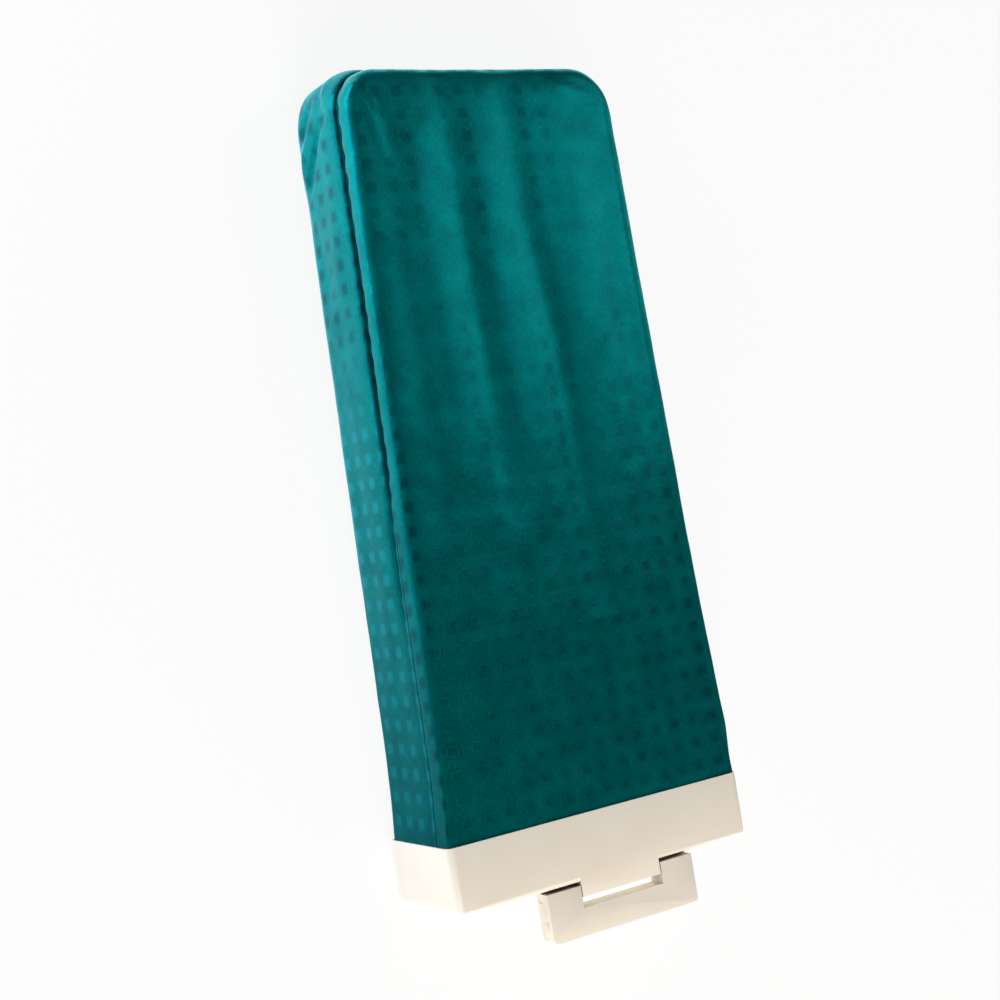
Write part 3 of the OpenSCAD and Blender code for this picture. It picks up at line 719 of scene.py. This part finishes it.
satin_cloth = satin("teal_jacquard_satin")
band_cloth = satin("teal_jacquard_satin_band_painted_sheen", painted_sheen_flip=True)
seam_rings = [(0.0, seam_z + 1.3), (0.15, seam_z + 0.55), (0.7, seam_z + 0.1)]
over_edge = rolled_rings(face_z, 0.0, roll_r, seam_z + 1.8)
run = over_edge[-1][2]
top_rings = over_edge + [(d, z, run + 0.6 * (k + 1)) for k, (d, z) in enumerate(seam_rings)]
top_mesh = laid_over("top_panel", face_z, top_rings)
move_to(top_mesh, drawn_tight(coordinates(top_mesh), face_z, 0.0))
puffed(top_mesh, 2.0, 0.8)
top_mesh = refined(top_mesh)
worked(top_mesh)
top_panel = placed(top_mesh, "top_panel", satin_cloth)
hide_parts("cover_top")
thickness = top_panel.modifiers.new("lining", "SOLIDIFY")
thickness.thickness = 1.1 * MM
thickness.offset = -1

# ---- Foam strips ------------------------------------------------------------
# Strips cut from the same foam, glued along the pan's walls under the cover.
strip_rings = [(4.1, 2.5, 0), (4.1, 40.9, 38), (6.5, 40.9, 40), (6.5, 2.5, 78), (4.1, 2.5, 80)]
strip = placed(
    wrapped_round("foam_strip", strip_rings, closed=True), "foam_strip", foam_finish
)
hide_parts("side_foam")

# ---- Cover: side band -------------------------------------------------------
# A strip of the same satin, sewn to the panel face to face, so that both dive into a
# narrow valley at the seam; its lower edge turns under the board.
band_rings = [(0.7, seam_z, 0.0), (0.15, seam_z - 0.45, 0.7), (0.0, seam_z - 1.3, 1.5)]
band_rings += [(0.0, z, seam_z - z) for z in np.linspace(seam_z - 3, cover_set + turn_r, 14)]
run = seam_z - cover_set - turn_r
for angle in range(15, 91, 15):
    a = math.radians(angle)
    inset, level = turn_r - turn_r * math.cos(a), cover_set + turn_r - turn_r * math.sin(a)
    band_rings.append((inset, level, run + turn_r * a))
band_mesh = wrapped_round("side_band", band_rings)
if sum(p.normal.dot((p.center.x, 0, 0)) for p in band_mesh.polygons) < 0:
    band_mesh.flip_normals()
band_mesh = refined(band_mesh)
worked(band_mesh)
side_band = placed(band_mesh, "side_band", band_cloth)
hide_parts("cover_band")
lining = side_band.modifiers.new("lining", "SOLIDIFY")
lining.thickness = 1.1 * MM
lining.offset = -1

# The edges of panel and band stand inside the seam as one strip.
allowance_mesh = wrapped_round("seam_allowance", [(1.22, 46.2 - k, k) for k in range(12)])
if allowance_mesh.polygons[0].normal.x < 0:
    allowance_mesh.flip_normals()
worked(allowance_mesh)
allowance = placed(allowance_mesh, "seam_allowance", band_cloth)

# ---- Cover: hem and elastic -------------------------------------------------
# The margin is turned under the board, doubled back and stitched as a casing; the elastic
# in it draws the cover tight and gathers the cloth where it goes round the nose.
hem_w, casing_h = 26.0, 3.4
pleat_depth, pleat_pitch = 0.5, 6.2
hem_z = cover_set + 0.05
hem_rings = [(d, hem_z, d - turn_r) for d in (turn_r, 6, 10, 14, 18, 20, 23, 25.2)]
run = hem_w - turn_r
hem_rings += [
    (hem_w, hem_z + 0.5, run),
    (hem_w + 0.1, hem_z + 1.7, run + 1.2),
    (hem_w - 0.2, hem_z + casing_h - 0.6, run + 2.3),
    (hem_w - 1.0, hem_z + casing_h - 0.2, run + 3.2),
    (23.0, hem_z + casing_h, run + 5.2),
    (21.2, hem_z + casing_h - 0.3, run + 7.0),
    (20.3, hem_z + 2.0, run + 8.6),
    (20.0, hem_z + 1.1, run + 9.6),
]
hem_mesh = wrapped_round("turned_hem", hem_rings, count=680)
points = coordinates(hem_mesh)
far, inset, _ = from_outline(points)
at_nose = sum(np.exp(-(((rim - 326) / 38) ** 2)) for rim in (far - far.min(), far.max() - far))
pleats = np.sin(2 * np.pi * far / pleat_pitch + 1.3 * np.sin(far / 17))
points[:, 2] += pleat_depth * (0.2 + 0.8 * at_nose) * smoothstep(6, 20, inset) * pleats
move_to(hem_mesh, points)
hem = placed(hem_mesh, "turned_hem", satin_cloth)
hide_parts("cover_hem")
doubled = hem.modifiers.new("thickness", "SOLIDIFY")
doubled.thickness = 0.7 * MM
doubled.offset = 0


def running_stitch(name, inset, level, material, pitch=4.0, length=2.8, gauge=0.24):
    """A row of stitches along the outline, on the underside of the cloth."""
    line = whole_outline(inset, 1600)
    steps = lengths_along(line)

    def point_at(reach):
        return np.array([np.interp(reach, steps, line[:, k]) for k in (0, 1)])

    turns = [math.radians(60 * k) for k in range(6)]
    mesh = bpy.data.meshes.new(name)
    bm = bmesh.new()
    for start in np.arange(8, steps[-1] - 12, pitch):
        rings = []
        for t, size in ((0, 0.3), (0.15, 0.9), (0.5, 1.0), (0.85, 0.9), (1, 0.3)):
            at = point_at(start + t * length)
            ahead = point_at(start + t * length + 0.5) - at
            side = np.array([-ahead[1], ahead[0]]) / np.linalg.norm(ahead) * gauge * size
            lift = level + gauge * (0.9 - 1.2 * math.sin(math.pi * t))
            section = [(*(at + side * math.cos(a)), lift + gauge * size * math.sin(a)) for a in turns]
            rings.append([bm.verts.new(point) for point in section])
        for one, two in zip(rings, rings[1:]):
            for k in range(6):
                bm.faces.new((one[k], one[(k + 1) % 6], two[(k + 1) % 6], two[k]))
        bm.faces.new(rings[0][::-1])
        bm.faces.new(rings[-1])
    bmesh.ops.recalc_face_normals(bm, faces=bm.faces)
    bm.to_mesh(mesh)
    bm.free()
    shade_smooth(mesh)
    return placed(mesh, name, material)


thread, shader = new_material("teal_polyester_thread", Roughness=0.55, Sheen_Weight=0.3)
shader.inputs["Base Color"].default_value = linear("#0A6E70")
running_stitch("casing_stitches", 20.6, hem_z - 0.35, thread)

elastic_rings = [
    (21.3, 2.0, 0), (24.7, 2.0, 3.4), (24.7, 3.2, 4.6), (21.3, 3.2, 8.0), (21.3, 2.0, 9.2),
]


def knitted_elastic():
    """Knitted elastic: white rubber and polyester ribs, 1 mm apart along the tape."""
    material, shader = new_material("white_knitted_elastic", Roughness=0.8, Sheen_Weight=0.2)
    cloth = add(material, "UVMap", uv_map="cloth").outputs["UV"]
    ribs = add(material, "TexWave", {"Vector": cloth}, bands_direction="X", inputs={"Scale": 0.31})
    white = coloured(material, ribs.outputs["Fac"], "#D8D6CF", "#F2F0EA")
    on(material, shader.inputs["Base Color"], white)
    bumped(material, shader, ribs.outputs["Fac"], 0.3)
    return material


elastic = placed(
    wrapped_round("hem_tape", elastic_rings, closed=True), "hem_tape", knitted_elastic()
)
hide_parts("hem_elastic")

# ---- End cap and hinge leaf -------------------------------------------------
# ABS, injection moulded in warm cream, with a fine spark-eroded grain.
def moulded_abs():
    """Cream ABS: satin, faintly clouded, with painted brown shade in recesses and where two pieces meet.
    """
    material, shader = new_material("cream_abs", Roughness=0.42)
    at = object_coordinates(material)
    grain = add(material, "TexNoise", {"Vector": at}, inputs={"Scale": 1 / (0.5 * MM), "Detail": 3.0})
    cloud = add(material, "TexNoise", {"Vector": at}, inputs={"Scale": 1 / (30 * MM), "Detail": 2.0})
    body = coloured(material, cloud.outputs["Fac"], "#E9DFCE", "#EEE5D6", 0.3, 0.7)
    # Painted shade: the colour turns brown (#6E4424) where ambient occlusion finds the surface hemmed
    # in.
    open_air = add(material, "AmbientOcclusion", samples=8, inputs={"Distance": 5 * MM}).outputs["AO"]
    in_corners = {"From Min": 0.15, "From Max": 0.6, "To Min": 0.85, "To Max": 0.0}
    painted_shade = add(material, "MapRange", {"Value": open_air}, inputs=in_corners)
    over = {0: painted_shade.outputs["Result"], 6: body}
    painted_shade_mix = add(material, "Mix", over, data_type="RGBA", inputs={7: linear("#6E4424")})
    on(material, shader.inputs["Base Color"], painted_shade_mix.outputs[2])
    bumped(material, shader, grain.outputs["Fac"], 0.03)
    return material


def rounded_below(bm, drawn_r, wanted_r):
    """Widens the rounding at the lower corner of a form's end, which the photograph shows
    rounder than the CAD does; the points inside the drawn radius move, the others stay."""
    end = min(v.co.y for v in bm.verts)
    for v in bm.verts:
        out, down = v.co.y - end - drawn_r, v.co.z - drawn_r
        if out < 1e-6 and down < 1e-6 and math.hypot(out, down) > 0.4 * MM:
            v.co.y = end + wanted_r + out * wanted_r / drawn_r
            v.co.z = wanted_r + down * wanted_r / drawn_r


def moulded(node, edge_mm, body, material):
    """A CAD node with its edges rounded as the mould's are, and shaded smooth."""
    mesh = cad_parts[node].data.copy()
    mesh.name = "moulded_" + node
    bm = bmesh.new()
    bm.from_mesh(mesh)
    if node == "end_cap":
        rounded_below(bm, 2.5 * MM, 5.5 * MM)
    bmesh.ops.remove_doubles(bm, verts=bm.verts, dist=2e-6)
    bmesh.ops.dissolve_limit(bm, angle_limit=math.radians(0.5), verts=bm.verts, edges=bm.edges)
    sharp = [e for e in bm.edges if len(e.link_faces) == 2 and e.calc_face_angle(0) > math.radians(40)]
    rounding = {"offset": edge_mm * MM, "affect": "EDGES", "segments": 2, "profile": 0.5}
    bmesh.ops.bevel(bm, geom=sharp, material=-1, clamp_overlap=True, **rounding)
    bm.to_mesh(mesh)
    bm.free()
    shade_smooth(mesh)
    mesh.set_sharp_from_angle(angle=math.radians(30))
    finished(mesh, material)
    piece = new_object("moulded_" + node, mesh)
    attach(piece, body)
    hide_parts(node)


cream = moulded_abs()
moulded("end_cap", 0.5, "board", cream)
moulded("hinge_leaf", 0.4, "leaf", cream)
dressed("pin_plugs", cream)
for node in ("hinge_pin", "friction_washers"):
    dressed(node, zinc)

# ---- Cap screws -------------------------------------------------------------
# M4 pan-head screws: a domed head with a cross recess over a rolled thread, at the places
# of the CAD screws.
head_r, crown_r, shank_r, thread_pitch = 3.8, 3.3, 2.0, 0.7
dome, recess, ridge_share = 0.75, 1.3, 0.09  # the dome's rise and the cross's depth, in mm
spots = np.array([v.co[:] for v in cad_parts["cap_screws"].data.vertices]) / MM
screw_x = np.abs(spots[:, 0]).max() - head_r
screw_zs = (spots[:, 2].min() + head_r, spots[:, 2].max() - head_r)
front, seat, tip = -17.0, -14.0, 8.0


def in_cross(u, v):
    """How far a point of the head lies in the recess's cross, from 0 to 1."""
    across, along_it = smoothstep(0.68, 0.48, np.abs([u, v])), smoothstep(2.1, 1.9, np.abs([u, v]))
    return np.maximum(across[0] * along_it[1], across[1] * along_it[0])


def pan_head_screws(name, count=60):
    """The four screws as one mesh: rings of points, from the middle of the head to the tip."""
    mesh = bpy.data.meshes.new(name)
    bm = bmesh.new()
    turns = np.linspace(0, 2 * np.pi, count, endpoint=False)
    top = [(r, front + dome * (r / crown_r) ** 2) for r in np.linspace(0.08, crown_r, 22)]
    sides = [(3.62, front + 1.05), (head_r, front + 1.5), (head_r, seat - 0.15), (head_r - 0.15, seat)]
    shank = [(shank_r, y) for y in np.arange(seat, tip - 1.0, thread_pitch / 5)]
    profile = top + sides + shank + [(1.5, tip - 0.2), (1.2, tip)]
    for x in (-screw_x, screw_x):
        for z in screw_zs:
            rings = []
            for k, (r, y) in enumerate(profile):
                u, v = r * np.cos(turns), r * np.sin(turns)
                deep = np.full(count, y)
                if k < len(top):
                    deep = deep + recess * in_cross(u, v)
                elif r == shank_r and y > seat + 1:
                    ridge = 1 - ridge_share * (1 - np.cos(2 * np.pi * y / thread_pitch - turns))
                    u, v = u * ridge, v * ridge
                rings.append([bm.verts.new((x + a, b, z + c)) for a, b, c in zip(u, deep, v)])
            for one, two in zip(rings, rings[1:]):
                for i in range(count):
                    bm.faces.new((one[i], two[i], two[(i + 1) % count], one[(i + 1) % count]))
            bm.faces.new(rings[0])
            bm.faces.new(rings[-1][::-1])
    bmesh.ops.recalc_face_normals(bm, faces=bm.faces)
    bm.to_mesh(mesh)
    bm.free()
    shade_smooth(mesh)
    mesh.set_sharp_from_angle(angle=math.radians(35))
    return mesh


screws = placed(pan_head_screws("pan_head_screws"), "pan_head_screws", zinc)
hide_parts("cap_screws")

# ---- Studio -----------------------------------------------------------------
# A white floor that shines on the object, brighter beyond the nose, with a large soft lamp
# from the base, a small one low at the nose's left and a strip on the right.
floor_mesh = bpy.data.meshes.new("floor")
bm = bmesh.new()
bmesh.ops.create_grid(bm, x_segments=1, y_segments=1, size=6.0)
bmesh.ops.translate(bm, verts=bm.verts, vec=(0, 0, -0.0004))
bm.to_mesh(floor_mesh)
bm.free()
floor = new_object("floor", floor_mesh)
paper = bpy.data.materials.new("white_paper")
paper.use_nodes = True
nodes = paper.node_tree.nodes
matt = nodes["Principled BSDF"]
matt.inputs["Base Color"].default_value = linear("#F4F4F4")
matt.inputs["Roughness"].default_value = 0.9
white = add(paper, "Emission")
seen = add(paper, "MixShader", {1: matt.outputs[0], 2: white.outputs[0]}, inputs={0: 0.88})
place = add(paper, "SeparateXYZ", {"Vector": add(paper, "NewGeometry").outputs["Position"]})
lit = []
for base, beyond in ((1.7, 2.6), (0.35, 3.6)):  # for diffuse and for glossy rays
    span = {"From Min": -0.15, "From Max": 0.2, "To Min": base, "To Max": beyond}
    bright = {"Strength": add(paper, "MapRange", {"Value": place.outputs["Y"]}, inputs=span).outputs[0]}
    lit.append(add(paper, "Emission", bright, inputs={"Color": linear("#F4F8FF")}).outputs[0])
rays = add(paper, "LightPath").outputs
unseen = add(paper, "MixShader", {0: rays["Is Glossy Ray"], 1: lit[0], 2: lit[1]}).outputs[0]
either = add(paper, "MixShader", {0: rays["Is Camera Ray"], 1: unseen, 2: seen.outputs[0]}).outputs[0]
on(paper, nodes["Material Output"].inputs["Surface"], either)
floor_mesh.materials.append(paper)

world = bpy.data.worlds.new("studio")
world.use_nodes = True
world.node_tree.nodes["Background"].inputs["Color"].default_value = (1, 1, 1, 1)
world.node_tree.nodes["Background"].inputs["Strength"].default_value = 0.12
bpy.context.scene.world = world
bpy.context.scene.view_settings.view_transform = "Standard"


def lamp(name, place, target, size, power, colour="#FFFFFF"):
    """A rectangular lamp at a place, turned to a target."""
    light = bpy.data.lights.new(name, "AREA")
    light.shape = "RECTANGLE"
    light.size, light.size_y = size
    light.energy = power
    light.color = linear(colour)[:3]
    obj = new_object(name, light)
    obj.location = place
    obj.rotation_mode = "QUATERNION"
    obj.rotation_quaternion = (Vector(target) - Vector(place)).to_track_quat("-Z", "Y")


lamp("nose_left_panel", (-0.5, 0.48, 0.10), (0, 0.15, 0.03), (0.4, 0.2), 2.8, "#D4E8FF")
lamp("base_panel", (-0.4, -1.25, 0.95), (0, 0, 0.03), (1.2, 1.2), 29.0, "#FFFAF4")
lamp("right_strip", (0.90, 0.35, 0.80), (0, 0.1, 0.05), (0.5, 1.1), 4.0)

# ---- Camera -----------------------------------------------------------------
# The photograph's place and lens, solved from the cap's corners and the long edges.
camera = new_object("camera", bpy.data.cameras.new("camera"))
bpy.context.scene.camera = camera
camera.data.sensor_width = 36.0
camera.data.lens = 36.0 * 1.698334
look, up = Vector((0.507154, 0.014087, -0.861740)), Vector((0.131387, 0.986916, 0.093457))
side = look.cross(up).normalized()
camera.matrix_world = Matrix.Translation((-0.388261, 0.127232 + rim_y, 0.671767)) @ Matrix(
    (side, side.cross(look), -look)
).transposed().to_4x4()
